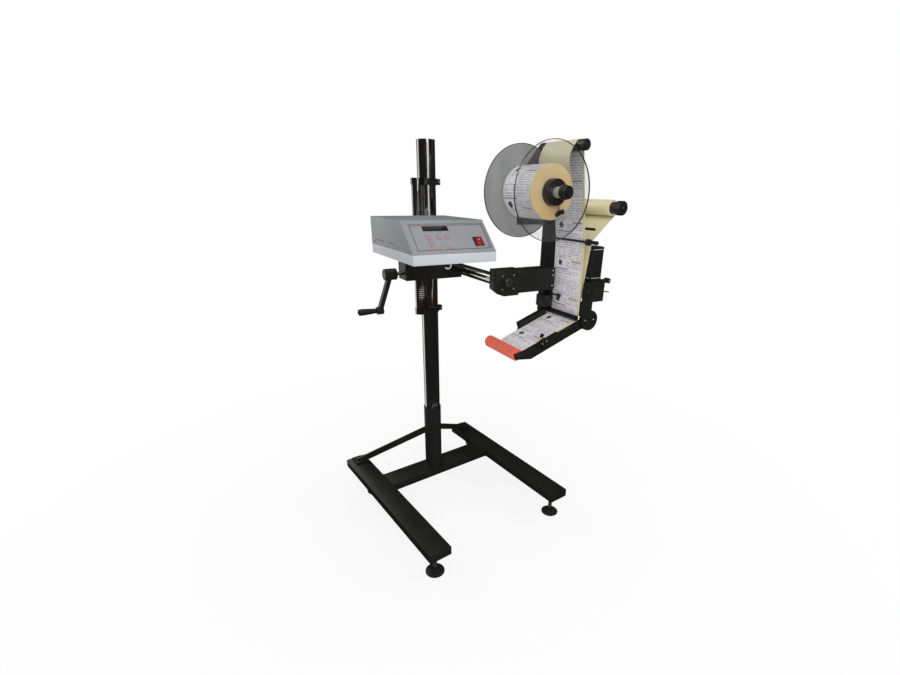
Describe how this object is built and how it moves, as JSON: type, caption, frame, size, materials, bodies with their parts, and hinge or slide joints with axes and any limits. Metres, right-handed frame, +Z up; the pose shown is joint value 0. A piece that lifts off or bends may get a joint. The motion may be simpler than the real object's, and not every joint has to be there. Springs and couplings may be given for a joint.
{
  "type": "labeling machine",
  "caption": "Label applicator head with spool, peel table and liner rewind, on an arm and crank-raised carriage with a control box, on a column with a wide floor stand",
  "frame": {"origin": "middle of the bounding box seen from above, on the floor under the feet", "axes": "+Z up along the column; +X along the cross beam side where the applicator head hangs; -Y the side that the operator and the control panel face"},
  "size_m": [0.7654, 0.9012, 1.443],
  "materials": {
    "stand_paint": "satin black paint",
    "foot": "black moulded foot on a steel stem",
    "chrome": "polished hard chrome",
    "box_paint": "light grey paint",
    "cover_paint": "grey paint",
    "panel": "printed panel foil",
    "display": "dark display window",
    "key": "pale key",
    "key_green": "green key",
    "steel": "turned steel",
    "plate_steel": "plain plate",
    "black_plastic": "black plastic",
    "motor": "black motor case",
    "red_plastic": "red rocker",
    "clear_disc": "clear disc",
    "roll_paper": "edge of a paper roll",
    "web": "labels on their liner",
    "liner": "cream liner",
    "drive_rubber": "black rubber",
    "wipe_rubber": "orange-red foam rubber"
  },
  "bodies": {
    "stand": {"left_rail": "stand_paint", "right_rail": "stand_paint", "cross_beam": "stand_paint", "column_socket": "stand_paint", "brace_left": "stand_paint", "brace_right": "stand_paint"},
    "column": {"column_tube": "chrome", "rack_tube": "chrome", "collar_lower": "stand_paint", "collar_upper": "stand_paint"},
    "carriage": {"carriage_block": "stand_paint", "box_bracket": "stand_paint", "control_base": "box_paint", "control_cover": "cover_paint", "control_panel": "panel", "display_window": "display"},
    "crank": {"crank_shaft": "steel", "pinion_gear": "steel", "crank_arm": "stand_paint"},
    "grip": {"crank_grip": "black_plastic"},
    "rocker": {"rocker_switch": "red_plastic"},
    "arm": {"arm_rod": "chrome"},
    "head": {"clamp_block": "stand_paint", "bracket_plate": "stand_paint", "main_bar": "stand_paint", "sensor_box": "black_plastic", "spool_arm": "stand_paint", "spool_spindle": "chrome", "back_plate": "stand_paint", "front_plate": "stand_paint", "gearbox": "stand_paint", "drive_motor": "motor", "guide_rod": "steel", "rewind_bracket": "stand_paint", "label_web": "web", "liner_web": "liner"},
    "spool": {"spool_hub": "black_plastic", "disc_rear": "clear_disc", "disc_front": "clear_disc", "label_roll": "roll_paper"},
    "top_roll": {"top_roller": "black_plastic"},
    "drive_roll": {"drive_roller": "drive_rubber"},
    "rewind": {"rewind_reel": "black_plastic", "liner_roll": "liner"},
    "table": {"side_plate": "stand_paint", "table_plate": "plate_steel", "table_web": "web"},
    "wipe": {"wipe_roller": "wipe_rubber"},
    "foot_front_left": {"foot_front_left": "foot"},
    "foot_front_right": {"foot_front_right": "foot"},
    "foot_rear_left": {"foot_rear_left": "foot"},
    "foot_rear_right": {"foot_rear_right": "foot"},
    "key_1": {"key_1": "key"},
    "key_2": {"key_2": "key"},
    "key_3": {"key_3": "key"},
    "key_4": {"key_4": "key"},
    "key_5": {"key_5": "key"},
    "key_6": {"key_6": "key_green"},
    "key_7": {"key_7": "key"}
  },
  "joints": [
    {"name": "foot_front_left_turn", "type": "hinge", "parent": "stand", "child": "foot_front_left", "pos_m": [-0.25789, -0.32368, 0.092], "axis": [0, 0, 1], "continuous": true},
    {"name": "foot_front_right_turn", "type": "hinge", "parent": "stand", "child": "foot_front_right", "pos_m": [0.32224, -0.25656, 0.092], "axis": [0, 0, 1], "continuous": true},
    {"name": "foot_rear_left_turn", "type": "hinge", "parent": "stand", "child": "foot_rear_left", "pos_m": [-0.2943, 0.25195, 0.092], "axis": [0, 0, 1], "continuous": true},
    {"name": "foot_rear_right_turn", "type": "hinge", "parent": "stand", "child": "foot_rear_right", "pos_m": [0.22623, 0.31217, 0.092], "axis": [0, 0, 1], "continuous": true},
    {"name": "column_swivel", "type": "hinge", "parent": "stand", "child": "column", "pos_m": [-0.04094, 0.1504, 0.424], "axis": [0, 0, 1], "range_deg": [-25, 25]},
    {"name": "carriage_lift", "type": "slide", "parent": "column", "child": "carriage", "axis": [0, 0, 1], "range_m": [-0.11, 0.19]},
    {"name": "crank_turn", "type": "hinge", "parent": "carriage", "child": "crank", "pos_m": [-0.19294, 0.09709, 1.004], "axis": [1, 0, 0], "range_deg": [-735, 430]},
    {"name": "grip_spin", "type": "hinge", "parent": "crank", "child": "grip", "pos_m": [-0.25434, 0.1204, 0.8722], "axis": [1, 0, 0], "continuous": true},
    {"name": "rocker_tip", "type": "hinge", "parent": "carriage", "child": "rocker", "pos_m": [-0.11694, -0.35898, 1.15322], "axis": [1, 0, 0], "range_deg": [-16, 0]},
    {"name": "arm_slide", "type": "slide", "parent": "carriage", "child": "arm", "axis": [0, 1, 0], "range_m": [-0.05, 0.05]},
    {"name": "head_tilt", "type": "hinge", "parent": "arm", "child": "head", "pos_m": [0.02406, -0.23461, 1.021], "axis": [0, 1, 0], "range_deg": [-10, 10]},
    {"name": "spool_spin", "type": "hinge", "parent": "head", "child": "spool", "pos_m": [0.11206, -0.2206, 1.282], "axis": [0, 1, 0], "continuous": true},
    {"name": "top_roller_spin", "type": "hinge", "parent": "head", "child": "top_roll", "pos_m": [0.19856, -0.2171, 1.4053], "axis": [0, 1, 0], "continuous": true},
    {"name": "drive_spin", "type": "hinge", "parent": "head", "child": "drive_roll", "pos_m": [0.28556, -0.2279, 0.983], "axis": [0, 1, 0], "continuous": true},
    {"name": "rewind_spin", "type": "hinge", "parent": "head", "child": "rewind", "pos_m": [0.35806, -0.2171, 1.241], "axis": [0, 1, 0], "continuous": true},
    {"name": "table_tilt", "type": "hinge", "parent": "head", "child": "table", "pos_m": [0.29606, -0.30361, 0.892], "axis": [0, 1, 0], "range_deg": [-8, 2]},
    {"name": "wipe_spin", "type": "hinge", "parent": "table", "child": "wipe", "pos_m": [0.0189, -0.2116, 0.80996], "axis": [0, 1, 0], "continuous": true},
    {"name": "key_1_press", "type": "slide", "parent": "carriage", "child": "key_1", "axis": [0, 0.6914, -0.7225], "range_m": [0, 0.0005], "stiffness_N_per_m": 300},
    {"name": "key_2_press", "type": "slide", "parent": "carriage", "child": "key_2", "axis": [0, 0.6914, -0.7225], "range_m": [0, 0.0005], "stiffness_N_per_m": 300},
    {"name": "key_3_press", "type": "slide", "parent": "carriage", "child": "key_3", "axis": [0, 0.6914, -0.7225], "range_m": [0, 0.0005], "stiffness_N_per_m": 300},
    {"name": "key_4_press", "type": "slide", "parent": "carriage", "child": "key_4", "axis": [0, 0.6914, -0.7225], "range_m": [0, 0.0005], "stiffness_N_per_m": 300},
    {"name": "key_5_press", "type": "slide", "parent": "carriage", "child": "key_5", "axis": [0, 0.6914, -0.7225], "range_m": [0, 0.0005], "stiffness_N_per_m": 300},
    {"name": "key_6_press", "type": "slide", "parent": "carriage", "child": "key_6", "axis": [0, 0.6914, -0.7225], "range_m": [0, 0.0005], "stiffness_N_per_m": 300},
    {"name": "key_7_press", "type": "slide", "parent": "carriage", "child": "key_7", "axis": [0, 0.6914, -0.7225], "range_m": [0, 0.0005], "stiffness_N_per_m": 300}
  ],
  "couplings": [
    {"joint": "crank_turn", "follows": "carriage_lift", "rad_per_m": -66.667},
    {"joint": "top_roller_spin", "follows": "spool_spin", "ratio": -4.96},
    {"joint": "drive_spin", "follows": "spool_spin", "ratio": -3.72},
    {"joint": "rewind_spin", "follows": "spool_spin", "ratio": 3.166}
  ]
}
